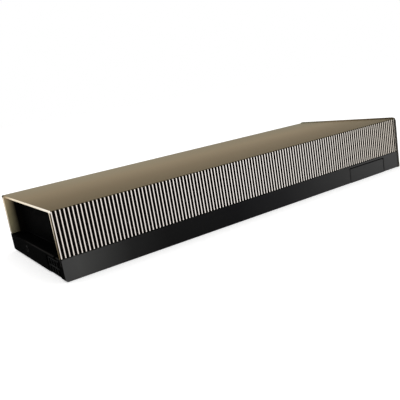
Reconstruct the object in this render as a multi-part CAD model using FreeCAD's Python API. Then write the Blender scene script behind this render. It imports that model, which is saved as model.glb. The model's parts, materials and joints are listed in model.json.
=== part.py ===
"""Passive dual-slot accelerator card for a server, lying on its backplate.

Card coordinates, in millimetres: X runs from the open tail to the mounting bracket, Y from the
card's top edge (the plain side of the housing) to its plug-in edge, and Z up from the resting face.
The parts are written out about the middle of the card's footprint, with the resting face at Z = 0.
"""
import FreeCAD, Part
import math
import os

Vec = FreeCAD.Vector
UP = (0, 0, 1)
ALONG = (1, 0, 0)
NEAR = 1e-4                 # two points nearer than this are one

# ---- Whole card ---------------------------------------------------------------------------------
LENGTH = 267.7              # tail end to the outer face of the bracket
WIDTH = 97.8                # housing, top edge side to plug-in edge side
HEIGHT = 37.0               # resting face to the top of the shroud
EDGE_REACH = 13.35          # plug-in edge side of the housing to the tips of the edge contacts
FIT = 0.2                   # general assembly clearance
EPS = 1.0                   # overrun of a cutting tool past the face that it opens
WALL_SHARE = 0.8            # most of a wall that an edge's radius may take
BLIND_SHARE = 0.85          # depth of a blind screw hole in its boss
SCREW_SHARE = 0.7           # length of a screw in its boss

# ---- Shroud: one folded and milled channel ------------------------------------------------------
SHEET = 1.1                 # top sheet
WEB = 1.3                   # side wall behind the ribs
RIB_DEPTH = 1.3
RIB_WIDTH = 1.0
RIB_PITCH = 2.168
FOOT_GAP = 0.5              # shadow gap between the base and the foot of the ribs
GROOVE_RISE = 1.5           # height over which a groove runs out towards the top sheet
GROOVE_NOTCH = 0.35         # depth of a groove where it reaches the top sheet
SHOULDER_R = 0.7            # outer edge between top sheet and ribs
FOLD_R = 0.8                # inner edge of the channel
MOUTH_BEVEL = 0.2           # polished edges around the open tail
LAP = 4.0                   # depth of the skirt inside the base
LAP_FIT = 0.1               # clearance of the skirt to the base
LUG_LENGTH = 8.0
LUG_REACH = 4.8             # lug, inwards from the skirt's inner face
LUG_HEIGHT = 3.0

# ---- Base: a cast frame around the circuit board ------------------------------------------------
BASE_HEIGHT = 11.9
BASE_WALL = 3.0
BASE_EDGE_R = 2.6           # lower edge on the plug-in side
BASE_FRONT_R = 0.8          # lower edge on the top edge side
TAIL_BEVEL = 1.2            # lower edge of the tail end
RIM_BEVEL = 0.35            # upper outer edges
LEDGE_REACH = 3.0           # board ledge, inwards from the wall
DECK = 0.8                  # floor of the air duct beside the heatsink
BOSS_R = 2.8
NOTCH_Y = (8.6, 12.3)       # keying notch in the tail wall, from the top edge side
NOTCH_DEPTH = 1.9

# ---- Tail: threaded insert for a chassis support ------------------------------------------------
INSERT_Y = 63.4
INSERT_Z = 7.1
INSERT_R = 2.3
INSERT_BORE_R = 1.25        # M3 thread, core
INSERT_LENGTH = 6.0
INSERT_BLOCK = 8.0          # cast block around the insert

# ---- Backplate ----------------------------------------------------------------------------------
BACKPLATE = 1.5
PLATE_CORNER_R = 1.0        # corners of the backplate, the board and the side cover
BOARD_STANDOFF = 1.17       # backplate to circuit board
STANDOFF_R = 3.0

# ---- Circuit board and its contacts -------------------------------------------------------------
BOARD = 1.57
TONGUE_DEPTH = 8.25         # board edge to the tips of the contacts
KEY_TO_BRACKET = 59.05      # middle of the key slot to the bracket's outer face
KEY_SLOT = 1.9
CONTACT_COUNTS = (11, 71)   # a face, on the bracket's side and on the tail's side of the key slot
CONTACT_PITCH = 1.0
CONTACT_WIDTH = 0.7
CONTACT_LENGTH = 4.6
CONTACT_THICK = 0.08
CONTACT_MARGIN = 0.475      # last contact to the end of its tongue
TIP_BEVEL = 1.2             # length of the lead-in bevel on the tongue
TIP_STEP = 0.4              # depth of the lead-in bevel
HOOK_GAP = 3.2              # tongue to retention hook
HOOK_WIDTH = 2.6
HOOK_REACH = 5.2
HOOK_BARB = 1.8
HOOK_R = 0.6

# ---- Side cover and the bridge connector behind it ----------------------------------------------
COVER_TO_BRACKET = 18.6     # cover's nearer end to the bracket's outer face
COVER_LENGTH = 36.4
COVER_HEIGHT = 9.85
COVER_GAP = 0.8             # groove around the cover
COVER_SKIN = 1.1
COVER_EDGE_R = 0.5
CLIP_LENGTH = 4.4
CLIP_THICK = 1.2
CLIP_HEIGHT = 2.4
BRIDGE_CONTACTS = 28
BRIDGE_TONGUE = 1.6         # bridge tongue, outwards from the board's edge

# ---- Power socket -------------------------------------------------------------------------------
SOCKET_WAYS = 4             # wells in a row, two rows
SOCKET_PITCH = 4.2
WELL = 3.5
SOCKET_WALL = 0.45          # wall above and below the wells
SOCKET_END_WALL = 1.6       # wall beside the end wells
SOCKET_DEPTH = 13.0
WELL_DEPTH = 10.2
SOCKET_Y = 6.2              # side of the socket nearest to the top edge
SOCKET_Z = 0.9
SOCKET_RECESS = 0.6         # socket's face behind the tail end
LATCH = 0.6                 # height of the latch ledge
LATCH_WIDTH = 3.6
LATCH_START = 0.8           # ledge's ramp behind the socket's face
LATCH_RAMP = 1.6
LATCH_LAND = 0.8
SOCKET_FLOOR = 0.7          # floor of the base under the socket
PIN = 1.0
PIN_TIP = 2.6               # pin's tip behind the socket's face
PIN_TAIL = 1.2              # soldered foot beyond the socket

# ---- Processor and heatsink ---------------------------------------------------------------------
PROCESSOR_TO_BRACKET = 118.0
PACKAGE = 55.0
PACKAGE_THICK = 2.2
RING_WIDTH = 4.0
RING_THICK = 0.6
DIE_X = 26.0
DIE_Y = 33.0
DIE_THICK = 0.8
STACK_X = 8.0
STACK_Y = 10.6
STACK_GAP = 0.6
STACK_ROWS = 3
PASTE = 0.16
COLD_PLATE = 4.0
COLD_PLATE_GAP = 0.8        # cold plate to the shroud's lugs
COLD_PLATE_TAIL = 16.0      # cold plate to the tail
POST_SPACING = 70.0
POST_R = 3.2
SPRING_THICK = 0.9
SPRING_WIDTH = 9.0
SPRING_PAD_R = 4.6
FIN = 0.4
FIN_PITCH = 2.05
FIN_TAIL = 9.0              # fins to the tail end
PLENUM = 13.7               # fins to the exhaust frame
SEAL = 0.5                  # foam strip between fins and shroud
SEAL_LENGTH = 8.0

# ---- Parts on the circuit board -----------------------------------------------------------------
PHASES = 8                  # power stages in each of the two columns
PHASE_PITCH = 9.2
COIL = 7.8
COIL_HEIGHT = 2.9
STAGE_X = 5.0
STAGE_Y = 6.0
STAGE_HEIGHT = 0.9
CAPACITOR_X = 4.3
CAPACITOR_Y = 7.3
CAPACITOR_HEIGHT = 2.6
PART_GAP = 1.2              # between neighbouring columns of parts
CHIP_ROW = 46.0             # control chips, from the tail
CHIP_SIZES = ((8.0, 8.0, 1.0), (6.0, 5.0, 1.2), (5.0, 5.0, 0.9), (8.0, 6.0, 1.2))
CHIP_PITCH = 16.0
FILTER_COIL_X = 26.0        # input filter coils, from the tail
FILTER_COIL = 11.0

# ---- Exhaust frame and mounting bracket ---------------------------------------------------------
FRAME_THICK = 0.9
FRAME_PROUD = 0.8           # rim of the frame outside the housing
FRAME_CORNER_R = 3.0
FRAME_FOOT_R = 1.0
WINDOW_SIDE = 4.6           # window to the housing's sides
WINDOW_TOP = 2.4            # window to the shroud's top
WINDOW_R = 1.5
SLEEVE_LENGTH = 3.5         # sleeve inside the shroud
SLEEVE_WALL = 1.2
BRACKET = 0.86
BEND_R = 0.5                # inner radius of the bracket's bend
BRACKET_DROP = 8.0          # flange below the card's top edge side
BRACKET_FOOT = 0.6          # bracket above the resting face
BRACKET_TOP = 1.0           # bracket below the shroud's top
BRACKET_CORNER_R = 1.0
FLANGE_DEPTH = 11.43
SHOULDER_REACH = 6.2        # full-width plate beyond the housing's plug-in edge side
BLADE_TIP = 8.87            # bracket blades beyond the edge contacts
BLADE_WIDTH = 10.19
BLADE_TAPER = 2.0
SLOT_PITCH = 20.32          # one expansion slot to the next
SCREW_NOTCH_R = 2.21
SCREW_NOTCH_X = 5.6         # notch's middle beyond the bracket's outer face
VENT_WIDTH = 3.2
VENT_PITCH = 5.2
VENT_BORDER = 1.4           # vents inside the frame's window
VENT_FLAT = 0.01            # half the straight left between a vent's two corner radii

# ---- Fasteners ----------------------------------------------------------------------------------
SCREW_R = 1.05              # shank of the small screws
SCREW_FIT = 0.2             # clearance hole around a shank
HEAD_R = 2.1
HEAD = 0.85
HEAD_SINK = 0.15            # head below the outer face of the backplate
HEAD_FIT = 0.3
RECESS_R = 0.75             # socket in a screw's head
RECESS_DEPTH = 0.45
SCREW_INSET = 6.6           # backplate screws to the housing's sides
SCREW_TAIL = 24.0           # first backplate screw to the tail
SCREW_FAR = 12.0            # last backplate screw to the exhaust frame
SCREW_COLUMNS = 5
LUG_SCREW_HEAD = 1.6
BRACKET_SCREWS = 3
BRACKET_SCREW_Z = 6.1
BRACKET_SCREW_R = 1.25
BRACKET_SCREW_HEAD_R = 2.6
BRACKET_SCREW_HEAD = 1.1
BRACKET_SCREW_INSET = 14.0  # end screws to the housing's sides

# ---- Levels and stations that follow ------------------------------------------------------------
WALL = WEB + RIB_DEPTH
FRAME_X = LENGTH - BRACKET - FRAME_THICK
PLATE_X = LENGTH - BRACKET
BOARD_LOW = BACKPLATE + BOARD_STANDOFF
BOARD_TOP = BOARD_LOW + BOARD
SEAT = BASE_HEIGHT - LAP
RIB_FOOT = BASE_HEIGHT + FOOT_GAP
COLD_LOW = BOARD_TOP + PACKAGE_THICK + DIE_THICK + PASTE
BOSS_TOP = min(SEAT, COLD_LOW - FIT)
FIN_LOW = COLD_LOW + COLD_PLATE
DECK_TOP = FIN_LOW - FIT
CEILING = HEIGHT - SHEET
FIN_TOP = CEILING - SEAL
FIN_END = FRAME_X - PLENUM
BOARD_SIDE = BASE_WALL + FIT
CARD_HEIGHT = WIDTH + EDGE_REACH
BOARD_EDGE = CARD_HEIGHT - TONGUE_DEPTH
KEY_X = LENGTH - KEY_TO_BRACKET
TONGUE_ENDS = KEY_SLOT / 2 + CONTACT_WIDTH + 2 * CONTACT_MARGIN
TONGUE_HIGH_X = KEY_X + TONGUE_ENDS + (CONTACT_COUNTS[0] - 1) * CONTACT_PITCH
TONGUE_LOW_X = KEY_X - TONGUE_ENDS - (CONTACT_COUNTS[1] - 1) * CONTACT_PITCH
HOOK_X = TONGUE_LOW_X - HOOK_GAP - HOOK_WIDTH
SLOT_LOW_X = HOOK_X - 2 * FIT - HOOK_WIDTH
COVER_HIGH_X = LENGTH - COVER_TO_BRACKET
COVER_LOW_X = COVER_HIGH_X - COVER_LENGTH
SOCKET_WIDTH = (SOCKET_WAYS - 1) * SOCKET_PITCH + WELL + 2 * SOCKET_END_WALL
SOCKET_HEIGHT = SOCKET_PITCH + WELL + 2 * SOCKET_WALL
SOCKET_END = SOCKET_RECESS + SOCKET_DEPTH
SOCKET_CORNER = (SOCKET_END + 3 * FIT, SOCKET_Y + SOCKET_WIDTH + 3 * FIT)
PROCESSOR_X = LENGTH - PROCESSOR_TO_BRACKET
PROCESSOR_Y = WIDTH / 2
COIL_OFFSET = POST_SPACING / 2 + POST_R + PART_GAP + COIL / 2
STAGE_OFFSET = COIL_OFFSET + COIL / 2 + PART_GAP + STAGE_X / 2
CAPACITOR_OFFSET = STAGE_OFFSET + STAGE_X / 2 + PART_GAP + CAPACITOR_X / 2
BRACKET_HIGH = HEIGHT - BRACKET_TOP
SHOULDER_Y = WIDTH + SHOULDER_REACH
SLOT_MIDDLES = [(BRACKET_FOOT + BRACKET_HIGH) / 2 + side * SLOT_PITCH / 2 for side in (-1, 1)]
BLADE_END = CARD_HEIGHT + BLADE_TIP
ORIGIN = Vec((PLATE_X + FLANGE_DEPTH) / 2, (BLADE_END - FRAME_PROUD) / 2, 0)

PLANES = {
    "xy": (lambda u, v, w: Vec(u, v, w), Vec(0, 0, 1)),
    "yz": (lambda u, v, w: Vec(w, u, v), Vec(1, 0, 0)),
    "xz": (lambda u, v, w: Vec(u, w, v), Vec(0, 1, 0)),
}


def block(x, y, z):
    """Box between three (low, high) pairs."""
    return Part.makeBox(x[1] - x[0], y[1] - y[0], z[1] - z[0], Vec(x[0], y[0], z[0]))


def about(middle, size):
    """The (low, high) pair of a size about its middle."""
    return (middle - size / 2, middle + size / 2)


def rod(centre, axis, radius, length):
    """Cylinder from the centre of its first end along axis."""
    return Part.makeCylinder(radius, length, Vec(*centre), Vec(*axis))


def slab(plane, corners, low, high):
    """Solid between two levels of a plane; corners are (u, v) or (u, v, radius)."""
    place, normal = PLANES[plane]
    points = [Vec(corner[0], corner[1], 0) for corner in corners]
    radii = [corner[2] if len(corner) > 2 else 0 for corner in corners]
    count = len(points)
    bends = []
    for i in range(count):
        here = points[i]
        if radii[i] <= 0:
            bends.append((here, None, here))
            continue
        back = (points[i - 1] - here).normalize()
        ahead = (points[(i + 1) % count] - here).normalize()
        half = back.getAngle(ahead) / 2
        reach = radii[i] / math.tan(half)
        middle = (back + ahead).normalize() * (radii[i] / math.sin(half) - radii[i])
        bends.append((here + back * reach, here + middle, here + ahead * reach))

    def placed(point):
        return place(point.x, point.y, low)

    edges = []
    for i in range(count):
        start, middle, end = bends[i]
        if middle is not None:
            edges.append(Part.Arc(placed(start), placed(middle), placed(end)).toShape())
        following = bends[(i + 1) % count][0]
        if end.distanceToPoint(following) > NEAR:
            edges.append(Part.makeLine(placed(end), placed(following)))
    face = Part.Face(Part.Wire(edges))
    return face.extrude(normal * (high - low))


def rectangle(u, v, radius=0):
    """Corners of a rectangle between two (low, high) pairs."""
    return [(u[0], v[0], radius), (u[1], v[0], radius), (u[1], v[1], radius), (u[0], v[1], radius)]


def joined(first, *others):
    return first.fuse(list(others)).removeSplitter()


def spread(first, last, count):
    """Evenly spaced values from first to last."""
    return [first + (last - first) * i / (count - 1) for i in range(count)]


def edges_at(shape, *limits):
    """Edges whose two ends lie within every (axis, low, high) limit."""
    found = []
    for edge in shape.Edges:
        ends = [vertex.Point for vertex in edge.Vertexes]
        if all(low - NEAR <= getattr(end, axis) <= high + NEAR for end in ends for axis, low, high in limits):
            found.append(edge)
    return found


def mirrored_sides(shape):
    """The shape and its mirror image about the middle of the card's width."""
    return [shape, shape.mirror(Vec(0, WIDTH / 2, 0), Vec(0, 1, 0))]


def screw_columns():
    return spread(SCREW_TAIL, FRAME_X - SCREW_FAR, SCREW_COLUMNS)


def screw_places():
    """Backplate screws: two rows along the housing."""
    return [(x, y) for x in screw_columns() for y in (SCREW_INSET, WIDTH - SCREW_INSET)]


def lug_places():
    """Shroud lugs: between the backplate screws, clear of the side cover."""
    columns = screw_columns()
    middles = [(columns[i] + columns[i + 1]) / 2 for i in range(SCREW_COLUMNS - 1)]
    clear = COVER_LOW_X - COVER_GAP - LUG_LENGTH
    return [x for x in middles if x < clear]


def bracket_screw_places():
    return spread(BRACKET_SCREW_INSET, WIDTH - BRACKET_SCREW_INSET, BRACKET_SCREWS)


def post_places():
    half = POST_SPACING / 2
    return [(PROCESSOR_X + i * half, PROCESSOR_Y + j * half) for i in (-1, 1) for j in (-1, 1)]


def screw(x, y, head_low, head_high, tip, shank_r, head_r):
    """Upright socket screw with its head at the bottom."""
    body = rod((x, y, head_low), UP, head_r, head_high - head_low)
    body = body.fuse(rod((x, y, head_high), UP, shank_r, tip - head_high)).removeSplitter()
    return body.cut(rod((x, y, head_low), UP, RECESS_R, RECESS_DEPTH))


def make_shroud():
    """Champagne channel: top sheet, two ribbed side walls, plain skirts and screw lugs."""
    side_in = WIDTH - WALL
    side_rib = WIDTH - RIB_DEPTH
    shoulder = min(SHOULDER_R, RIB_DEPTH * WALL_SHARE)
    profile = [
        (RIB_DEPTH, SEAT), (WALL, SEAT), (WALL, CEILING, FOLD_R), (side_in, CEILING, FOLD_R),
        (side_in, SEAT), (side_rib, SEAT), (side_rib, RIB_FOOT), (WIDTH, RIB_FOOT),
        (WIDTH, HEIGHT, shoulder), (0, HEIGHT, shoulder), (0, RIB_FOOT), (RIB_DEPTH, RIB_FOOT)]
    channel = slab("yz", profile, 0, FRAME_X)
    channel = channel.makeChamfer(MOUTH_BEVEL, edges_at(channel, ("x", 0, 0)))
    groove = [
        (-EPS, RIB_FOOT - EPS / 2), (RIB_DEPTH, RIB_FOOT - EPS / 2), (RIB_DEPTH, HEIGHT - GROOVE_RISE),
        (GROOVE_NOTCH, HEIGHT), (GROOVE_NOTCH, HEIGHT + EPS), (-EPS, HEIGHT + EPS)]
    cutters = []
    start = RIB_WIDTH
    while start < FRAME_X:
        end = min(start + RIB_PITCH - RIB_WIDTH, FRAME_X + EPS)
        cutters += mirrored_sides(slab("yz", groove, start, end))
        start += RIB_PITCH
    channel = channel.cut(cutters)
    lugs = []
    for x in lug_places():
        lug = block(about(x, LUG_LENGTH), (WALL - WEB / 2, WALL + LUG_REACH), (SEAT, SEAT + LUG_HEIGHT))
        hole = rod((x, lug_screw_y(), SEAT - EPS), UP, SCREW_R, EPS + LUG_HEIGHT * BLIND_SHARE)
        lugs += mirrored_sides(lug.cut(hole))
    return joined(channel, *lugs)


def lug_screw_y():
    return WALL + LUG_REACH / 2


def make_base():
    """Cast frame: walls, board ledge, duct decks, bosses and the cut-outs of the card's edges."""
    back_r = min(BASE_EDGE_R, BASE_WALL - RIM_BEVEL)
    section = [
        (0, 0, BASE_FRONT_R), (WIDTH, 0, back_r),
        (WIDTH, BASE_HEIGHT - RIM_BEVEL), (WIDTH - RIM_BEVEL, BASE_HEIGHT),
        (RIM_BEVEL, BASE_HEIGHT), (0, BASE_HEIGHT - RIM_BEVEL)]
    outer = slab("yz", section, 0, FRAME_X)
    bevel = [(-EPS, -EPS), (TAIL_BEVEL + EPS, -EPS), (-EPS, TAIL_BEVEL + EPS)]
    outer = outer.cut(slab("xz", bevel, -EPS, WIDTH + EPS))
    inside_x = (BASE_WALL, FRAME_X - BASE_WALL)
    inside_y = (BASE_WALL, WIDTH - BASE_WALL)
    frame = outer.cut(block(inside_x, inside_y, (-EPS, BASE_HEIGHT + EPS)))
    ledge = block(inside_x, inside_y, (BOARD_TOP, SEAT))
    opening_x = (inside_x[0] + LEDGE_REACH, inside_x[1] - LEDGE_REACH)
    opening_y = (inside_y[0] + LEDGE_REACH, inside_y[1] - LEDGE_REACH)
    ledge = ledge.cut(block(opening_x, opening_y, (0, BASE_HEIGHT)))
    duct_y = (WALL + LAP_FIT, WIDTH - WALL - LAP_FIT)
    tail_deck = block((BASE_WALL, COLD_PLATE_TAIL - FIT), duct_y, (DECK_TOP - DECK, DECK_TOP))
    exhaust_deck = block((FIN_END + FIT, inside_x[1]), duct_y, (DECK_TOP - DECK, DECK_TOP))
    socket_floor = block((BASE_WALL, SOCKET_END + 2 * FIT), (BASE_WALL, SOCKET_Y + SOCKET_WIDTH + 2 * FIT),
                         (0, SOCKET_FLOOR))
    insert_block = block((BASE_WALL, INSERT_LENGTH + FIT + DECK), about(INSERT_Y, INSERT_BLOCK),
                         (BOARD_TOP, DECK_TOP))
    pieces = [ledge, tail_deck, exhaust_deck, insert_block]
    for x, y in screw_places():
        pieces.append(rod((x, y, BOARD_TOP), UP, BOSS_R, BOSS_TOP - BOARD_TOP))
    for x in lug_places():
        pad = block(about(x, LUG_LENGTH), (BASE_WALL, WALL + LUG_REACH), (BOARD_TOP, SEAT))
        pieces += mirrored_sides(pad)
    lean_wall = block(inside_x, (RIB_DEPTH - LAP_FIT, BASE_WALL), (SEAT, BASE_HEIGHT + EPS))
    frame = joined(frame.cut(mirrored_sides(lean_wall)), *pieces)

    cuts = []
    skirt_y = (RIB_DEPTH - LAP_FIT, WALL + LAP_FIT)
    skirt_slot = block((-EPS, FRAME_X + EPS), skirt_y, (SEAT, BASE_HEIGHT + EPS))
    cuts += mirrored_sides(skirt_slot)
    cuts.append(block((SLOT_LOW_X, inside_x[1]), (inside_y[1] - EPS, WIDTH + EPS), (-EPS, BOARD_TOP)))
    cover_x = (COVER_LOW_X - COVER_GAP, COVER_HIGH_X + COVER_GAP)
    cuts.append(block(cover_x, (-EPS, BASE_WALL + LEDGE_REACH + FIT), (-EPS, COVER_HEIGHT + COVER_GAP)))
    socket_top = SOCKET_Z + SOCKET_HEIGHT + LATCH + FIT
    cuts.append(block((-EPS, SOCKET_END + 2 * FIT), (SOCKET_Y - FIT, SOCKET_Y + SOCKET_WIDTH + FIT),
                      (0, socket_top)))
    cuts.append(block((-EPS, BASE_WALL + EPS), NOTCH_Y, (BASE_HEIGHT - NOTCH_DEPTH, BASE_HEIGHT + EPS)))
    cuts.append(rod((-EPS, INSERT_Y, INSERT_Z), ALONG, INSERT_R, EPS + INSERT_LENGTH))
    for x, y in screw_places():
        depth = (BOSS_TOP - BOARD_TOP) * BLIND_SHARE
        cuts.append(rod((x, y, BOARD_TOP - EPS), UP, SCREW_R, EPS + depth))
    for x in lug_places():
        foot = (x, lug_screw_y(), BOARD_TOP - EPS)
        through = rod(foot, UP, SCREW_R + SCREW_FIT, SEAT)
        counterbore = rod(foot, UP, HEAD_R + HEAD_FIT, EPS + LUG_SCREW_HEAD)
        cuts += mirrored_sides(through.fuse(counterbore))
    for y in bracket_screw_places():
        depth = BASE_WALL + LEDGE_REACH
        cuts.append(rod((FRAME_X - depth, y, BRACKET_SCREW_Z), ALONG, BRACKET_SCREW_R, depth + EPS))
    frame = frame.cut(cuts)
    floor_low = socket_floor.common(outer)
    return joined(frame, floor_low)


def make_backplate():
    """Flat plate flush with the base's foot, with bosses that carry the circuit board."""
    side = (BASE_WALL + FIT, WIDTH - BASE_WALL - FIT)
    plate_x = (BASE_WALL + FIT, FRAME_X - BASE_WALL - FIT)
    plate = slab("xy", rectangle(plate_x, side, PLATE_CORNER_R), 0, BACKPLATE)
    lip = block((SLOT_LOW_X + FIT, plate_x[1]), (side[1] - EPS, WIDTH), (0, BACKPLATE))
    plate = joined(plate, lip)
    plate = plate.cut(block((0, SOCKET_CORNER[0]), (0, SOCKET_CORNER[1]), (-EPS, BACKPLATE + EPS)))
    bosses = [rod((x, y, 0), UP, STANDOFF_R, BOARD_LOW) for x, y in screw_places()]
    plate = joined(plate, *bosses)
    holes = []
    for x, y in screw_places():
        holes.append(rod((x, y, -EPS), UP, SCREW_R + SCREW_FIT, BOARD_LOW + 2 * EPS))
        holes.append(rod((x, y, -EPS), UP, HEAD_R + HEAD_FIT, EPS + HEAD_SINK + HEAD))
    for x, y in post_places():
        holes.append(rod((x, y, -EPS), UP, HEAD_R + 2 * HEAD_FIT, BACKPLATE + 2 * EPS))
    return plate.cut(holes)


def make_board():
    """Circuit board with its keyed tongue, retention hook, bridge tongue and holes."""
    low_x = BASE_WALL + FIT
    high_x = FRAME_X - BASE_WALL - FIT
    front = BOARD_SIDE
    inner = WIDTH - BOARD_SIDE
    bridge_x = (COVER_LOW_X + CLIP_THICK + 2 * FIT, COVER_HIGH_X - CLIP_THICK - 2 * FIT)
    corner = SOCKET_CORNER
    key_x = about(KEY_X, KEY_SLOT)
    hook_x = (HOOK_X, HOOK_X + HOOK_WIDTH, HOOK_X + HOOK_WIDTH + HOOK_BARB)
    hook_y = (BOARD_EDGE + HOOK_REACH / 2, BOARD_EDGE + HOOK_REACH)
    outline = [
        (corner[0], front), (bridge_x[0], front), (bridge_x[0], front - BRIDGE_TONGUE),
        (bridge_x[1], front - BRIDGE_TONGUE), (bridge_x[1], front),
        (high_x, front), (high_x, BOARD_EDGE, PLATE_CORNER_R),
        (TONGUE_HIGH_X, BOARD_EDGE), (TONGUE_HIGH_X, CARD_HEIGHT),
        (key_x[1], CARD_HEIGHT), (key_x[1], BOARD_EDGE), (key_x[0], BOARD_EDGE), (key_x[0], CARD_HEIGHT),
        (TONGUE_LOW_X, CARD_HEIGHT), (TONGUE_LOW_X, BOARD_EDGE), (hook_x[1], BOARD_EDGE),
        (hook_x[1], hook_y[0]), (hook_x[2], hook_y[0]), (hook_x[2], hook_y[1], HOOK_R),
        (hook_x[0], hook_y[1], HOOK_R), (hook_x[0], BOARD_EDGE),
        (SLOT_LOW_X + FIT, BOARD_EDGE, HOOK_R), (SLOT_LOW_X + FIT, inner),
        (low_x, inner, PLATE_CORNER_R), (low_x, corner[1]), (corner[0], corner[1])]
    board = slab("xy", outline, BOARD_LOW, BOARD_TOP)
    tip = CARD_HEIGHT
    for face, step in ((BOARD_TOP, TIP_STEP), (BOARD_LOW, -TIP_STEP)):
        wedge = [(tip - TIP_BEVEL, face), (tip, face - step), (tip + EPS, face - step),
                 (tip + EPS, face + step), (tip - TIP_BEVEL, face + step)]
        board = board.cut(slab("yz", wedge, TONGUE_LOW_X - EPS, TONGUE_HIGH_X + EPS))
    holes = []
    for x, y in screw_places():
        holes.append(rod((x, y, 0), UP, SCREW_R + SCREW_FIT, HEIGHT))
    for x, y in post_places():
        holes.append(rod((x, y, 0), UP, SCREW_R + SCREW_FIT, HEIGHT))
    return board.cut(holes)


def contact_row(first, step, count, y, z):
    """Contact pads of one row, first pad's middle at first."""
    half = CONTACT_WIDTH / 2
    return [block((first + i * step - half, first + i * step + half), y, z) for i in range(count)]


def both_faces(first, step, count, y):
    top = contact_row(first, step, count, y, (BOARD_TOP, BOARD_TOP + CONTACT_THICK))
    low = contact_row(first, step, count, y, (BOARD_LOW - CONTACT_THICK, BOARD_LOW))
    return top + low


def make_edge_contacts():
    """Plated contacts on both faces of the keyed tongue."""
    inset = CONTACT_MARGIN + CONTACT_WIDTH / 2
    end = CARD_HEIGHT - TIP_BEVEL - CONTACT_THICK
    y = (end - CONTACT_LENGTH, end)
    pads = both_faces(KEY_X + KEY_SLOT / 2 + inset, CONTACT_PITCH, CONTACT_COUNTS[0], y)
    pads += both_faces(KEY_X - KEY_SLOT / 2 - inset, -CONTACT_PITCH, CONTACT_COUNTS[1], y)
    return Part.makeCompound(pads)


def make_bridge_contacts():
    """Plated contacts on the bridge tongue behind the side cover."""
    middle = (COVER_LOW_X + COVER_HIGH_X) / 2
    first = middle - (BRIDGE_CONTACTS - 1) * CONTACT_PITCH / 2
    front = BOARD_SIDE - BRIDGE_TONGUE + FIT
    y = (front, front + CONTACT_LENGTH)
    return Part.makeCompound(both_faces(first, CONTACT_PITCH, BRIDGE_CONTACTS, y))


def make_bridge_cover():
    """Snap-in cover over the bridge connector, with two clip legs."""
    x = (COVER_LOW_X, COVER_HIGH_X)
    edge = min(COVER_EDGE_R, COVER_SKIN * WALL_SHARE)
    outline = [(x[0], 0), (x[1], 0), (x[1], COVER_HEIGHT, PLATE_CORNER_R), (x[0], COVER_HEIGHT, PLATE_CORNER_R)]
    face = slab("xz", outline, 0, COVER_SKIN)
    face = face.makeChamfer(edge / 2, edges_at(face, ("y", 0, 0)))
    pieces = []
    for outer, inner in ((x[0], x[0] + CLIP_THICK), (x[1], x[1] - CLIP_THICK)):
        span = (min(outer, inner), max(outer, inner))
        z = (BOARD_TOP + FIT, BOARD_TOP + FIT + CLIP_HEIGHT)
        pieces.append(block(span, (COVER_SKIN / 2, COVER_SKIN + CLIP_LENGTH), z))
    return joined(face, *pieces)


def make_power_socket():
    """Two-row power socket housing, open at the tail."""
    x = (SOCKET_RECESS, SOCKET_END)
    y = (SOCKET_Y, SOCKET_Y + SOCKET_WIDTH)
    z = (SOCKET_Z, SOCKET_Z + SOCKET_HEIGHT)
    housing = block(x, y, z)
    middle = (y[0] + y[1]) / 2
    foot = x[0] + LATCH_START
    crest = foot + LATCH_RAMP
    end = crest + LATCH_LAND
    sunk = z[1] - SOCKET_WALL / 2
    latch = [(foot, sunk), (foot, z[1]), (crest, z[1] + LATCH), (end, z[1] + LATCH), (end, sunk)]
    ledge = slab("xz", latch, *about(middle, LATCH_WIDTH))
    housing = joined(housing, ledge)
    cuts = []
    for y_mid, z_mid in well_places():
        cuts.append(block((x[0] - EPS, x[0] + WELL_DEPTH), about(y_mid, WELL), about(z_mid, WELL)))
        cuts.append(block((x[0], x[1] + EPS), about(y_mid, PIN), about(z_mid, PIN)))
    return housing.cut(cuts)


def well_places():
    first_y = SOCKET_Y + SOCKET_END_WALL + WELL / 2
    first_z = SOCKET_Z + SOCKET_WALL + WELL / 2
    return [(first_y + i * SOCKET_PITCH, first_z + j * SOCKET_PITCH)
            for j in range(2) for i in range(SOCKET_WAYS)]


def make_power_pins():
    """Square pins with soldered feet: upper row on the board's top, lower row under it."""
    pins = []
    half = PIN / 2
    back = SOCKET_END + PIN / 2
    foot_end = SOCKET_END + 3 * FIT + PIN_TAIL + PIN
    for y_mid, z_mid in well_places():
        y = about(y_mid, PIN)
        blade = block((SOCKET_RECESS + PIN_TIP, back), y, about(z_mid, PIN))
        if z_mid > BOARD_TOP:
            leg = block((SOCKET_END, back), y, (BOARD_TOP, z_mid + half))
            foot = block((SOCKET_END, foot_end), y, (BOARD_TOP, BOARD_TOP + half))
        else:
            leg = block((SOCKET_END, back), y, (BOARD_LOW - half, z_mid + half))
            foot = block((SOCKET_END, foot_end), y, (BOARD_LOW - half, BOARD_LOW))
        pins.append(joined(blade, leg, foot))
    return Part.makeCompound(pins)


def make_insert():
    """Threaded bush in the tail wall."""
    bush = rod((0, INSERT_Y, INSERT_Z), ALONG, INSERT_R, INSERT_LENGTH)
    return bush.cut(rod((-EPS, INSERT_Y, INSERT_Z), ALONG, INSERT_BORE_R, INSERT_LENGTH + 2 * EPS))


def centred(size_x, size_y, x, y, z):
    return block(about(x, size_x), about(y, size_y), z)


def make_package():
    return centred(PACKAGE, PACKAGE, PROCESSOR_X, PROCESSOR_Y, (BOARD_TOP, BOARD_TOP + PACKAGE_THICK))


def make_ring():
    """Stiffening ring around the edge of the package."""
    z = (BOARD_TOP + PACKAGE_THICK, BOARD_TOP + PACKAGE_THICK + RING_THICK)
    ring = centred(PACKAGE, PACKAGE, PROCESSOR_X, PROCESSOR_Y, z)
    hole = PACKAGE - 2 * RING_WIDTH
    return ring.cut(centred(hole, hole, PROCESSOR_X, PROCESSOR_Y, (z[0] - EPS, z[1] + EPS)))


def die_level():
    low = BOARD_TOP + PACKAGE_THICK
    return (low, low + DIE_THICK)


def make_die():
    return centred(DIE_X, DIE_Y, PROCESSOR_X, PROCESSOR_Y, die_level())


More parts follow.
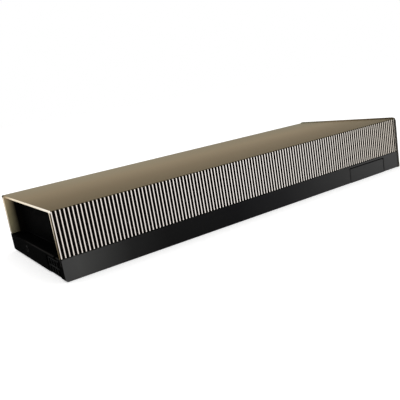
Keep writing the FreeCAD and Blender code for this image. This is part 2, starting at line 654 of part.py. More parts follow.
def make_memory():
    """Memory stacks on both sides of the die."""
    offset = DIE_X / 2 + STACK_GAP + STACK_X / 2
    pitch = STACK_Y + STACK_GAP
    stacks = []
    for side in (-1, 1):
        for row in range(STACK_ROWS):
            y = PROCESSOR_Y + (row - (STACK_ROWS - 1) / 2) * pitch
            stacks.append(centred(STACK_X, STACK_Y, PROCESSOR_X + side * offset, y, die_level()))
    return Part.makeCompound(stacks)


def make_paste():
    """Thermal layer between the chips and the cold plate."""
    size_x = DIE_X + 2 * (STACK_GAP + STACK_X)
    size_y = STACK_ROWS * (STACK_Y + STACK_GAP) - STACK_GAP
    return centred(size_x, size_y, PROCESSOR_X, PROCESSOR_Y, (COLD_LOW - PASTE, COLD_LOW))


def make_cold_plate():
    """Heatsink base with four threaded posts around the processor."""
    side = WALL + LUG_REACH + COLD_PLATE_GAP
    plate = block((COLD_PLATE_TAIL, FIN_END), (side, WIDTH - side), (COLD_LOW, FIN_LOW))
    height = COLD_LOW - BOARD_TOP + COLD_PLATE / 2
    posts = [rod((x, y, BOARD_TOP), UP, POST_R, height) for x, y in post_places()]
    holes = [rod((x, y, 0), UP, SCREW_R, COLD_LOW + COLD_PLATE * BLIND_SHARE) for x, y in post_places()]
    return joined(plate, *posts).cut(holes)


def make_fins():
    """Stack of upright fins whose folded edges close the channels above and below."""
    y = (WALL + FIT, WIDTH - WALL - FIT)
    stack = block((FIN_TAIL, FIN_END), y, (FIN_LOW, FIN_TOP))
    count = int((y[1] - y[0] - FIN) / FIN_PITCH)
    pitch = (y[1] - y[0] - FIN) / count
    channels = []
    for i in range(count):
        low = y[0] + i * pitch + FIN
        channels.append(block((FIN_TAIL - EPS, FIN_END + EPS), (low, low + pitch - FIN),
                              (FIN_LOW + FIN, FIN_TOP - FIN)))
    return stack.cut(channels)


def make_seal():
    y = (WALL + FIT + FOLD_R, WIDTH - WALL - FIT - FOLD_R)
    return block((FIN_TAIL, FIN_TAIL + SEAL_LENGTH), y, (FIN_TOP, CEILING))


def phase_rows():
    return [PROCESSOR_Y + (row - (PHASES - 1) / 2) * PHASE_PITCH for row in range(PHASES)]


def phase_parts(size_x, size_y, offset, z):
    """Two columns of equal parts, one each side of the processor."""
    parts = []
    for side in (-1, 1):
        for y in phase_rows():
            parts.append(centred(size_x, size_y, PROCESSOR_X + side * offset, y, z))
    return parts


def make_coils():
    """Phase coils beside the processor and two input filter coils near the power socket."""
    z = (BOARD_TOP, BOARD_TOP + COIL_HEIGHT)
    coils = phase_parts(COIL, COIL, COIL_OFFSET, z)
    for y in (PROCESSOR_Y - FILTER_COIL, PROCESSOR_Y + FILTER_COIL):
        coils.append(centred(FILTER_COIL, FILTER_COIL, FILTER_COIL_X, y, z))
    return Part.makeCompound(coils)


def make_stages():
    z = (BOARD_TOP, BOARD_TOP + STAGE_HEIGHT)
    return Part.makeCompound(phase_parts(STAGE_X, STAGE_Y, STAGE_OFFSET, z))


def make_pads():
    """Thermal strips between the power stages and the cold plate."""
    length = (PHASES - 1) * PHASE_PITCH + STAGE_Y
    z = (BOARD_TOP + STAGE_HEIGHT, COLD_LOW)
    return Part.makeCompound([centred(STAGE_X, length, PROCESSOR_X + side * STAGE_OFFSET, PROCESSOR_Y, z)
                              for side in (-1, 1)])


def make_capacitors():
    z = (BOARD_TOP, BOARD_TOP + CAPACITOR_HEIGHT)
    return Part.makeCompound(phase_parts(CAPACITOR_X, CAPACITOR_Y, CAPACITOR_OFFSET, z))


def make_chips():
    """Supply controller, memory and management chips near the tail."""
    chips = []
    for i, (size_x, size_y, size_z) in enumerate(CHIP_SIZES):
        y = PROCESSOR_Y + (i - (len(CHIP_SIZES) - 1) / 2) * CHIP_PITCH
        chips.append(centred(size_x, size_y, CHIP_ROW, y, (BOARD_TOP, BOARD_TOP + size_z)))
    return Part.makeCompound(chips)


def make_spring():
    """Crossed leaf spring that pulls the heatsink onto the processor from behind the board."""
    z = (BOARD_LOW - SPRING_THICK, BOARD_LOW)
    reach = POST_SPACING / math.sqrt(2)
    bar = block((-reach, reach), (-SPRING_WIDTH / 2, SPRING_WIDTH / 2), z)
    bars = []
    for angle in (45, 135):
        turned = bar.copy()
        turned.rotate(Vec(0, 0, 0), Vec(0, 0, 1), angle)
        turned.translate(Vec(PROCESSOR_X, PROCESSOR_Y, 0))
        bars.append(turned)
    pads = [rod((x, y, z[0]), UP, SPRING_PAD_R, SPRING_THICK) for x, y in post_places()]
    spring = joined(bars[0], bars[1], *pads)
    holes = [rod((x, y, 0), UP, SCREW_R + SCREW_FIT, HEIGHT) for x, y in post_places()]
    return spring.cut(holes)


def make_backplate_screws():
    tip = BOARD_TOP + (BOSS_TOP - BOARD_TOP) * SCREW_SHARE
    return Part.makeCompound([screw(x, y, HEAD_SINK, HEAD_SINK + HEAD, tip, SCREW_R, HEAD_R)
                              for x, y in screw_places()])


def make_heatsink_screws():
    low = BOARD_LOW - SPRING_THICK
    tip = COLD_LOW + COLD_PLATE * SCREW_SHARE
    return Part.makeCompound([screw(x, y, low - HEAD, low, tip, SCREW_R, HEAD_R) for x, y in post_places()])


def make_shroud_screws():
    """Screws through the base's ledge into the shroud's lugs."""
    low = BOARD_TOP + FIT
    high = BOARD_TOP + LUG_SCREW_HEAD
    tip = SEAT + LUG_HEIGHT * SCREW_SHARE
    screws = []
    for x in lug_places():
        one = screw(x, lug_screw_y(), low, high, tip, SCREW_R, HEAD_R)
        screws += mirrored_sides(one)
    return Part.makeCompound(screws)


def make_exhaust_frame():
    """Dark end frame: proud rim, wide window and a sleeve inside the shroud."""
    rim_y = (-FRAME_PROUD, WIDTH + FRAME_PROUD)
    top = HEIGHT + FRAME_PROUD
    outline = [(rim_y[0], 0, FRAME_FOOT_R), (rim_y[1], 0, FRAME_FOOT_R), (rim_y[1], top, FRAME_CORNER_R),
               (rim_y[0], top, FRAME_CORNER_R)]
    frame = slab("yz", outline, FRAME_X, PLATE_X)
    sleeve_y = (WALL + FIT, WIDTH - WALL - FIT)
    sleeve_z = (BASE_HEIGHT + FIT, CEILING - FIT)
    sleeve = slab("yz", rectangle(sleeve_y, sleeve_z, FOLD_R), FRAME_X - SLEEVE_LENGTH, FRAME_X)
    inner_y = (sleeve_y[0] + SLEEVE_WALL, sleeve_y[1] - SLEEVE_WALL)
    inner_z = (sleeve_z[0] + SLEEVE_WALL, sleeve_z[1] - SLEEVE_WALL)
    sleeve = sleeve.cut(block((0, LENGTH), inner_y, inner_z))
    window = slab("yz", rectangle(*window_size(), WINDOW_R), FRAME_X - EPS, PLATE_X + EPS)
    hole_r = BRACKET_SCREW_R + SCREW_FIT
    holes = [rod((FRAME_X - EPS, y, BRACKET_SCREW_Z), ALONG, hole_r, FRAME_THICK + 2 * EPS)
             for y in bracket_screw_places()]
    frame = frame.cut([window] + holes)
    return joined(frame, sleeve)


def window_size():
    """The exhaust window's (low, high) across the card and upwards."""
    return ((WINDOW_SIDE, WIDTH - WINDOW_SIDE), (BASE_HEIGHT + FIT + SLEEVE_WALL, HEIGHT - WINDOW_TOP))


def make_bracket():
    """Folded two-slot mounting bracket with vents, screw notches and chassis blades."""
    z = (BRACKET_FOOT, BRACKET_HIGH)
    outer = LENGTH
    tip = PLATE_X + FLANGE_DEPTH
    fold = [(PLATE_X, BRACKET_DROP, BRACKET + BEND_R), (tip, BRACKET_DROP),
            (tip, BRACKET_DROP + BRACKET), (outer, BRACKET_DROP + BRACKET, BEND_R),
            (outer, SHOULDER_Y), (PLATE_X, SHOULDER_Y)]
    bracket = slab("xy", fold, *z)
    blades = []
    for middle in SLOT_MIDDLES:
        half = BLADE_WIDTH / 2
        blade = [(SHOULDER_Y - EPS, middle - half), (BLADE_END - BLADE_TAPER, middle - half),
                 (BLADE_END, middle - half + BLADE_TAPER), (BLADE_END, middle + half - BLADE_TAPER),
                 (BLADE_END - BLADE_TAPER, middle + half), (SHOULDER_Y - EPS, middle + half)]
        blades.append(slab("yz", blade, PLATE_X, outer))
    bracket = joined(bracket, *blades)
    cuts = []
    for middle in SLOT_MIDDLES:
        x = outer + SCREW_NOTCH_X
        cuts.append(rod((x, BRACKET_DROP - EPS, middle), (0, 1, 0), SCREW_NOTCH_R, BRACKET + 2 * EPS))
        cuts.append(block((x, x + FLANGE_DEPTH), (BRACKET_DROP - EPS, BRACKET_DROP + BRACKET + EPS),
                          (middle - SCREW_NOTCH_R, middle + SCREW_NOTCH_R)))
    window_y, window_z = window_size()
    first_y = max(window_y[0], BRACKET_DROP + BRACKET + BEND_R)
    vent_y = (first_y + VENT_BORDER, window_y[1] - VENT_BORDER)
    vent_z = (window_z[0] + VENT_BORDER, window_z[1] - VENT_BORDER)
    count = int((vent_y[1] - vent_y[0] - VENT_WIDTH) / VENT_PITCH) + 1
    first = (vent_y[0] + vent_y[1]) / 2 - (count - 1) * VENT_PITCH / 2
    for i in range(count):
        vent = rectangle(about(first + i * VENT_PITCH, VENT_WIDTH), vent_z, VENT_WIDTH / 2 - VENT_FLAT)
        cuts.append(slab("yz", vent, PLATE_X - EPS, outer + EPS))
    for y in bracket_screw_places():
        hole_r = BRACKET_SCREW_R + SCREW_FIT
        cuts.append(rod((PLATE_X - EPS, y, BRACKET_SCREW_Z), ALONG, hole_r, BRACKET + 2 * EPS))
    bracket = bracket.cut(cuts)
    corners = []
    for level in z:
        corners += edges_at(bracket, ("x", tip, tip), ("z", level, level))
        corners += edges_at(bracket, ("y", SHOULDER_Y, SHOULDER_Y), ("z", level, level))
    step = SLOT_MIDDLES[0] - BLADE_WIDTH / 2 - BRACKET_FOOT
    return bracket.makeFillet(min(BRACKET_CORNER_R, step * WALL_SHARE), corners)


def make_bracket_screws():
    """Low-head screws through bracket and exhaust frame into the base."""
    tip = FRAME_X - BASE_WALL - LEDGE_REACH * SCREW_SHARE
    crown = LENGTH + BRACKET_SCREW_HEAD
    screws = []
    for y in bracket_screw_places():
        head = rod((LENGTH, y, BRACKET_SCREW_Z), ALONG, BRACKET_SCREW_HEAD_R, BRACKET_SCREW_HEAD)
        head = head.makeFillet(BRACKET_SCREW_HEAD / 2, edges_at(head, ("x", crown, crown)))
        shank = rod((tip, y, BRACKET_SCREW_Z), ALONG, BRACKET_SCREW_R, LENGTH - tip)
        recess = rod((crown - RECESS_DEPTH, y, BRACKET_SCREW_Z), ALONG, RECESS_R, EPS)
        screws.append(joined(head, shank).cut(recess))
    return Part.makeCompound(screws)


PARTS = {
    "shroud": make_shroud,
    "base_frame": make_base,
    "backplate": make_backplate,
    "exhaust_frame": make_exhaust_frame,
    "mounting_bracket": make_bracket,
    "circuit_board": make_board,
    "edge_contacts": make_edge_contacts,
    "bridge_contacts": make_bridge_contacts,
    "bridge_cover": make_bridge_cover,
    "power_socket": make_power_socket,
    "power_pins": make_power_pins,
    "tail_insert": make_insert,
    "processor_package": make_package,
    "package_ring": make_ring,
    "processor_die": make_die,
    "memory_stacks": make_memory,
    "thermal_paste": make_paste,
    "cold_plate": make_cold_plate,
    "fin_stack": make_fins,
    "foam_seal": make_seal,
    "coils": make_coils,
    "power_stages": make_stages,
    "thermal_pads": make_pads,
    "capacitors": make_capacitors,
    "control_chips": make_chips,
    "leaf_spring": make_spring,
    "backplate_screws": make_backplate_screws,
    "heatsink_screws": make_heatsink_screws,
    "shroud_screws": make_shroud_screws,
    "bracket_screws": make_bracket_screws,
}

os.makedirs("parts", exist_ok=True)
for node, make in PARTS.items():
    shape = make()
    shape.translate(ORIGIN * -1)
    shape.exportStep("parts/" + node + ".step")
    print(node, len(shape.Solids), round(shape.Volume), shape.isValid())
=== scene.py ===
"""Looks for a passive accelerator card that lies on its backplate, with its open tail at -X."""
import json
import math
import bmesh
import bpy
from mathutils import Matrix, Vector


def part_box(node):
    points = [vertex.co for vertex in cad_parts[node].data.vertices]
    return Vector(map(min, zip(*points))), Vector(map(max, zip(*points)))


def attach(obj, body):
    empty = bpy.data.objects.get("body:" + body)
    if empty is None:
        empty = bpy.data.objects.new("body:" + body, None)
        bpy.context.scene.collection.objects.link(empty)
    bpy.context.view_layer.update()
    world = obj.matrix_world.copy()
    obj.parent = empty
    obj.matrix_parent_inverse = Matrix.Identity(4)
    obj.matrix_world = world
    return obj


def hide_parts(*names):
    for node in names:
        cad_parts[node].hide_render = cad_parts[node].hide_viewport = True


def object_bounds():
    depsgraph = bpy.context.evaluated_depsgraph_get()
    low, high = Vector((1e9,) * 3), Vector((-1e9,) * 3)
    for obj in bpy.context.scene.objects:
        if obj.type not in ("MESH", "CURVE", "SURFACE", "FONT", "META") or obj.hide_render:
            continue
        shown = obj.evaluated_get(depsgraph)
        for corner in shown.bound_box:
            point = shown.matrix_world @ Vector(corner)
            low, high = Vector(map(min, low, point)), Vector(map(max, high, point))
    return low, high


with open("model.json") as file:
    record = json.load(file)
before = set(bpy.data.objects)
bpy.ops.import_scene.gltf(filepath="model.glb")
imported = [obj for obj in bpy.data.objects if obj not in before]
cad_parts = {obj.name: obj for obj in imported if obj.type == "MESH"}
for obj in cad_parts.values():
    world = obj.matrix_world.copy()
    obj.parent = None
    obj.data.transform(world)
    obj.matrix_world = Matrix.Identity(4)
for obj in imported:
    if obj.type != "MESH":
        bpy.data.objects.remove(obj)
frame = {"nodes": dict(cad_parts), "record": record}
cad_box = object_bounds()
nodes = frame["nodes"]
slots = {entry["node"]: entry["material_slot"] for entry in frame["record"]["subparts"]}
MM = 0.001

# Places that the finishes follow, in millimetres, read from the model's own boxes.
shroud_low, shroud_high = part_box("shroud")
base_low, base_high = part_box("base_frame")
TAIL = shroud_low.x / MM
TOP = shroud_high.z / MM
HALF_WIDTH = (shroud_high.y - shroud_low.y) / 2 / MM
MIDDLE_Y = (shroud_high.y + shroud_low.y) / 2 / MM
BASE_FRONT = base_low.y / MM
BASE_BACK = base_high.y / MM
BASE_TOP = base_high.z / MM

# Ribs and sheet of the shroud, in millimetres. The web is what a groove leaves of the side wall.
RIB_PITCH = 2.168
RIB_WIDTH = 1.0
RIB_DEPTH = 1.3
WEB = 1.3
SIDE_WALL = RIB_DEPTH + WEB
SHOULDER = 0.7
SHEET = 1.1

# Painted highlight along each rib's crest: its middle and half width within the pitch, and how softly it
# ends.
RIDGE_PLACE = 0.57
RIDGE_HALF = 0.26
RIDGE_SOFT = 0.07

# How far the tail's cut face, its chamfer and the lip of the top sheet, which carry the tail end's painted
# light and shade, reach in, in millimetres, and how wide the painted highlight band is along the inner edge
# of a cut wall.
CUT_FACE = 0.02
CHAMFER = 0.24
LIP = 0.43
HIGHLIGHT_STRIP = 1.075

# Screws and thread, in millimetres.
SCREWS = {
    "pan_screws": {"head": 0.85, "shank_radius": 1.05},
    "bracket_pan_screws": {"head": 1.1, "shank_radius": 1.25},
}
HEAD_SIDES = 48
PAN_ROUND = 0.4
PAN_REACH = 0.7
PAN_DROP = 0.2
SOCKET_RADIUS = 0.78
SOCKET_DEPTH = 0.5
LOBES = 6
LOBE = 0.14
SMOOTH_ANGLE = math.radians(40)
THREAD_PITCH = 0.5
THREAD_ROOT = 1.3
THREAD_CREST = 1.12
THREAD_FLANK = 0.36
THREAD_STEPS = 24
MERGE = 0.001

# Camera: degrees, millimetres of lens and sensor, metres of place.
CAMERA_PLACE = (-0.207735, -0.303830, 0.082360)
CAMERA_TURN = 57.819
CAMERA_DIP = 12.070
CAMERA_ROLL = -9.531
CAMERA_LENS = 46.46
CAMERA_SENSOR = 36
CAMERA_CLIP = 0.01

# Floor: its half size and its gap under the card, in metres, its grey and its glow. World: how much
# light it gives, and how bright it is where it is seen.
FLOOR_HALF = 6
FLOOR_GAP = 0.0001
FLOOR_GREY = 0.8
FLOOR_GLOW = 0.5
WORLD_LIGHT = 0.65
WORLD_WHITE = 1.0


def linear(value):
    """A screen value from 0 to 255 as the linear share that a shader takes."""
    if value <= 10:
        return value / 255 / 12.92
    return ((value / 255 + 0.055) / 1.055) ** 2.4


def colour(red, green, blue):
    return tuple(linear(value) for value in (red, green, blue))


# ---- Tones of the bronze and of the black base --------------------------------------------------
# Painted shade across the top sheet, darker at its front edge, from its front edge to past its middle.
SHEET_FRONT = colour(79, 71, 58)
SHEET_MIDDLE = colour(132, 119, 99)
SHEET_BREAK = HALF_WIDTH * 0.2
SHEET_SHADE_TONES = [(-HALF_WIDTH, SHEET_FRONT), (-HALF_WIDTH * 0.4, colour(105, 93, 76)),
               (SHEET_BREAK, SHEET_MIDDLE)]

# By distance from the tail, painted light and shade: the sheet's back edge, the painted highlight on the rib
# crests and the painted sheen on the base's front face.
BACK_LIGHT_TONES = [(0.0, colour(133, 127, 110)), (50.0, colour(139, 134, 118)), (100.0, colour(132, 127, 111)),
              (200.0, colour(117, 112, 96)), (266.0, colour(124, 125, 110))]
CREST_HIGHLIGHT_TONES = [(0.0, colour(218, 210, 203)), (50.0, colour(230, 223, 217)), (120.0, colour(253, 247, 241)),
               (180.0, colour(255, 249, 242)), (266.0, colour(250, 241, 228))]
FRONT_PAINTED_SHEEN = [(0.0, colour(72, 72, 72)), (8.0, colour(76, 76, 75)), (38.0, colour(39, 39, 39)),
               (60.0, colour(27, 27, 27)), (110.0, colour(27, 27, 28)), (150.0, colour(41, 41, 42)),
               (200.0, colour(62, 62, 62)), (266.0, colour(82, 82, 82))]

# By height, painted light and shade that grows lighter towards the top: the side walls' inner faces, and
# their cut ends at the tail.
INNER_WALL_LIGHT_TONES = [(14.0, colour(164, 156, 126)), (24.0, colour(178, 168, 132)),
                    (34.0, colour(232, 210, 170))]
FRONT_END_SHADE_TONES = [(14.0, colour(10, 9, 8)), (21.0, colour(30, 28, 25)), (31.0, colour(50, 47, 42)),
                   (TOP - SHEET, colour(60, 56, 51))]
HIGHLIGHT_STRIP_TONES = [(14.0, colour(20, 18, 16)), (21.0, colour(140, 134, 124)),
                      (29.0, colour(246, 238, 226)), (TOP - SHEET, colour(250, 243, 230))]
BACK_END_LIGHT_TONES = [(14.0, colour(134, 127, 114)), (24.0, colour(214, 202, 182)),
                  (TOP - SHEET, colour(236, 223, 204))]

# Painted highlight across the cut end of the top sheet, on its polished metal, fading into painted shade
# towards its back.
SHEET_END_HIGHLIGHT_TONES = [(-HALF_WIDTH, colour(255, 252, 246)), (HALF_WIDTH * 0.45, colour(250, 240, 224)),
                   (HALF_WIDTH - 9.0, colour(176, 158, 130)), (HALF_WIDTH - 4.0, colour(30, 26, 20))]

# Painted shade: the sheet turns darker and cooler towards its far end.
FAR_PAINTED_SHADE = colour(83, 99, 92)
BRUSH_TINT = colour(186, 174, 151)
PATCH_TINT = colour(79, 69, 51)
# Painted shade inside the mouth, deeper than a few millimetres in.
INNER_SHADE_TONE = colour(8, 7, 6)
# Painted shade on the rib crest beside its painted highlight.
RIB_SHADE_TONE = colour(40, 34, 28)
# Painted shade in the sheet's back corner at the tail.
CORNER_SHADE_TONE = colour(42, 37, 31)
GROOVE_TONE = colour(7, 6, 6)
BRONZE_SHEEN = (0.62, 0.54, 0.42, 1)


# ---- Node helpers -------------------------------------------------------------------------------
class Tree:
    """A node tree that is written line by line: add a node, join it to what it reads."""

    def __init__(self, tree):
        self.tree = tree
        self.column = 0

    def add(self, kind, settings=None, **inputs):
        node = self.tree.nodes.new(kind)
        node.location = (self.column * 180, -(self.column % 5) * 160)
        self.column += 1
        for key, value in (settings or {}).items():
            setattr(node, key, value)
        for key, value in inputs.items():
            self.feed(node, key, value)
        return node

    def feed(self, node, key, value):
        """Key is a socket's name with _ for spaces, or in0, in1, ... for its place."""
        if key[:2] == "in" and key[2:].isdigit():
            socket = node.inputs[int(key[2:])]
        else:
            socket = node.inputs[key.replace("_", " ")]
        if isinstance(value, bpy.types.NodeSocket):
            self.tree.links.new(value, socket)
        elif isinstance(value, (tuple, list)) and len(value) == 3 and socket.type == "RGBA":
            socket.default_value = (*value, 1)
        else:
            socket.default_value = value

    def math(self, operation, first, second=0.0):
        return self.add("ShaderNodeMath", {"operation": operation}, in0=first, in1=second).outputs[0]

    def every(self, *masks):
        """On only where all the masks are on."""
        result = masks[0]
        for mask in masks[1:]:
            result = self.math("MULTIPLY", result, mask)
        return result

    def either(self, *masks):
        """On where any of the masks is on."""
        result = masks[0]
        for mask in masks[1:]:
            result = self.math("MAXIMUM", result, mask)
        return result

    def off(self, mask):
        return self.math("SUBTRACT", 1.0, mask)

    def between(self, value, low, high):
        """0 below low, 1 above high, straight between; swapped limits turn it round."""
        node = self.add("ShaderNodeMapRange", {"clamp": True}, Value=value, From_Min=low, From_Max=high)
        return node.outputs["Result"]

    def above(self, value, edge, soft):
        return self.between(value, edge - soft, edge + soft)

    def below(self, value, edge, soft):
        return self.between(value, edge + soft, edge - soft)

    def weigh(self, first, second, share):
        """The given share of the first value, and the rest of the second."""
        return self.math("ADD", self.math("MULTIPLY", first, share), self.math("MULTIPLY", second, 1 - share))

    def vary(self, amount, first, second):
        node = self.add("ShaderNodeMix", {"data_type": "FLOAT"}, in0=amount, in2=first, in3=second)
        return node.outputs[0]

    def blend(self, amount, first, second):
        node = self.add("ShaderNodeMix", {"data_type": "RGBA"}, in0=amount, in6=first, in7=second)
        return node.outputs[2]

    def tint(self, tone, other, mask, share):
        """Tone with at most the given share of another, by a mask."""
        return self.blend(self.math("MULTIPLY", mask, share), tone, other)

    def ramp(self, value, stops):
        """Colour that runs through (place, colour) stops."""
        low = stops[0][0]
        span = stops[-1][0] - low
        node = self.add("ShaderNodeValToRGB", Fac=self.between(value, low, low + span))
        points = node.color_ramp.elements
        while len(points) < len(stops):
            points.new(0.5)
        for point, (place, tone) in zip(points, stops):
            point.position = (place - low) / span
            point.color = (*tone, 1)
        return node.outputs["Color"]

    def place(self):
        """Place on the object, in millimetres."""
        place = self.add("ShaderNodeTexCoord").outputs["Object"]
        return self.add("ShaderNodeVectorMath", {"operation": "SCALE"}, in0=place, Scale=1 / MM).outputs[0]

    def axes(self, vector):
        node = self.add("ShaderNodeSeparateXYZ", in0=vector)
        return node.outputs[0], node.outputs[1], node.outputs[2]


def new_group(name, inputs, outputs):
    group = bpy.data.node_groups.new(name, "ShaderNodeTree")
    for label, value in inputs.items():
        socket = group.interface.new_socket(name=label, in_out="INPUT", socket_type="NodeSocketFloat")
        socket.default_value = value
    for label in outputs:
        group.interface.new_socket(name=label, in_out="OUTPUT", socket_type="NodeSocketFloat")
    tree = Tree(group)
    return group, tree, tree.add("NodeGroupInput").outputs, tree.add("NodeGroupOutput")


def make_grain_group():
    """Fine even grain of a coated, blasted or moulded surface: its height, and broad faint patches."""
    group, tree, given, taken = new_group(
        "surface grain", {"Grain mm": 0.3, "Patch mm": 30.0}, ["Height", "Patch"])
    place = tree.place()
    fine_scale = tree.math("DIVIDE", 1.0, given["Grain mm"])
    patch_scale = tree.math("DIVIDE", 1.0, given["Patch mm"])
    fine = tree.add("ShaderNodeTexNoise", Vector=place, Scale=fine_scale, Detail=2.0, Roughness=0.6)
    patch = tree.add("ShaderNodeTexNoise", Vector=place, Scale=patch_scale, Detail=3.0, Roughness=0.55)
    tree.feed(taken, "Height", fine.outputs[0])
    tree.feed(taken, "Patch", patch.outputs[0])
    return group


def make_brush_group():
    """Brushing lines along X: their height and a shade."""
    group, tree, given, taken = new_group(
        "brushing", {"Line mm": 0.25, "Length mm": 40.0}, ["Height", "Shade"])
    x, y, z = tree.axes(tree.place())
    along = tree.math("DIVIDE", x, given["Length mm"])
    across = tree.math("DIVIDE", y, given["Line mm"])
    upward = tree.math("DIVIDE", z, given["Line mm"])
    spread = tree.add("ShaderNodeCombineXYZ", in0=along, in1=across, in2=upward).outputs[0]
    fine = tree.add("ShaderNodeTexNoise", Vector=spread, Scale=1.0, Detail=3.0, Roughness=0.65)
    broad = tree.add("ShaderNodeTexNoise", Vector=spread, Scale=0.13, Detail=2.0, Roughness=0.5)
    tree.feed(taken, "Height", fine.outputs[0])
    tree.feed(taken, "Shade", tree.weigh(fine.outputs[0], broad.outputs[0], share=0.6))
    return group


GRAIN = make_grain_group()
BRUSH = make_brush_group()


def new_material(name):
    material = bpy.data.materials.new(name)
    material.use_nodes = True
    material.node_tree.nodes.clear()
    tree = Tree(material.node_tree)
    shader = tree.add("ShaderNodeBsdfPrincipled")
    output = tree.add("ShaderNodeOutputMaterial")
    tree.feed(output, "Surface", shader.outputs[0])
    return material, tree, shader


def grain(tree, size, patch=30.0):
    """Height and patches of a grain, with both sizes in millimetres."""
    node = tree.add("ShaderNodeGroup", {"node_tree": GRAIN}, Grain_mm=size, Patch_mm=patch)
    return node.outputs["Height"], node.outputs["Patch"]


def brushing(tree, line, length):
    """Height and shade of brushing, with both sizes in millimetres."""
    node = tree.add("ShaderNodeGroup", {"node_tree": BRUSH}, Line_mm=line, Length_mm=length)
    return node.outputs["Height"], node.outputs["Shade"]


def mottled(tree, fine, patch):
    return tree.weigh(fine, patch, share=0.4)


def bumped(tree, shader, height, depth_mm):
    bump = tree.add("ShaderNodeBump", Strength=1.0, Distance=depth_mm * MM, Height=height)
    tree.feed(shader, "Normal", bump.outputs[0])


# ---- Bronze of the shroud -----------------------------------------------------------------------
def sheet_shade(tree, along, across, shade, patch):
    """Top sheet in painted light and shade: dark at the front, lighter to the plug-in side, darker and cooler
    towards the far end, with faint brushing and patches.
    """
    to_back = tree.between(across, SHEET_BREAK, HALF_WIDTH)
    tone = tree.blend(to_back, tree.ramp(across, SHEET_SHADE_TONES), tree.ramp(along, BACK_LIGHT_TONES))
    tone = tree.tint(tone, FAR_PAINTED_SHADE, tree.between(along, 215.0, 262.0), share=0.14)
    tone = tree.tint(tone, BRUSH_TINT, shade, share=0.16)
    return tree.tint(tone, PATCH_TINT, patch, share=0.12)


def crest_highlight(tree, along, phase):
    """Rib crest: a painted highlight along its middle on a rib in painted shade, over the brighter cut metal
    of the crest.
    """
    from_ridge = tree.math("ABSOLUTE", tree.math("SUBTRACT", phase, RIDGE_PLACE))
    painted_ridge_highlight = tree.below(from_ridge, RIDGE_HALF, soft=RIDGE_SOFT)
    return tree.blend(painted_ridge_highlight, RIB_SHADE_TONE, tree.ramp(along, CREST_HIGHLIGHT_TONES))


def tail_end_tone(tree, across, depth, z, below_sheet):
    """Cut end of the shroud in painted light and shade: dark front wall with a painted highlight along its
    inner edge, paler back wall, bright sheet.
    """
    highlight_strip = tree.above(depth, SIDE_WALL - HIGHLIGHT_STRIP, soft=0.075)
    walls = tree.blend(highlight_strip, tree.ramp(z, FRONT_END_SHADE_TONES), tree.ramp(z, HIGHLIGHT_STRIP_TONES))
    walls = tree.blend(tree.between(across, 0.0, 0.1), walls, tree.ramp(z, BACK_END_LIGHT_TONES))
    return tree.blend(below_sheet, tree.ramp(across, SHEET_END_HIGHLIGHT_TONES), walls)


def groove_mask(tree, depth, phase, z):
    """On between the ribs and in the notches that they leave under the top sheet."""
    behind_face = tree.above(depth, 0.065, soft=0.035)
    before_web = tree.below(depth, RIB_DEPTH + 0.1, soft=0.05)
    under_top = tree.below(z, TOP - 0.1, soft=0.05)
    below_shoulder = tree.below(z, TOP - SHOULDER, soft=0.1)
    off_crest = tree.off(tree.below(phase, RIB_WIDTH, soft=0.02))
    return tree.every(behind_face, before_web, under_top, tree.either(below_shoulder, off_crest))


def tail_edge_mask(tree, along, z, inside_tail):
    """On over the cut end of the tail, its chamfer and the lip of the top sheet, where the tail end's painted
    light and shade go.
    """
    lip = tree.every(tree.below(along, LIP, soft=0.03), tree.above(z, TOP - 0.06, soft=0.04))
    chamfer = tree.either(tree.below(along, CHAMFER, soft=0.02), lip)
    return tree.either(tree.every(chamfer, inside_tail), tree.off(inside_tail))


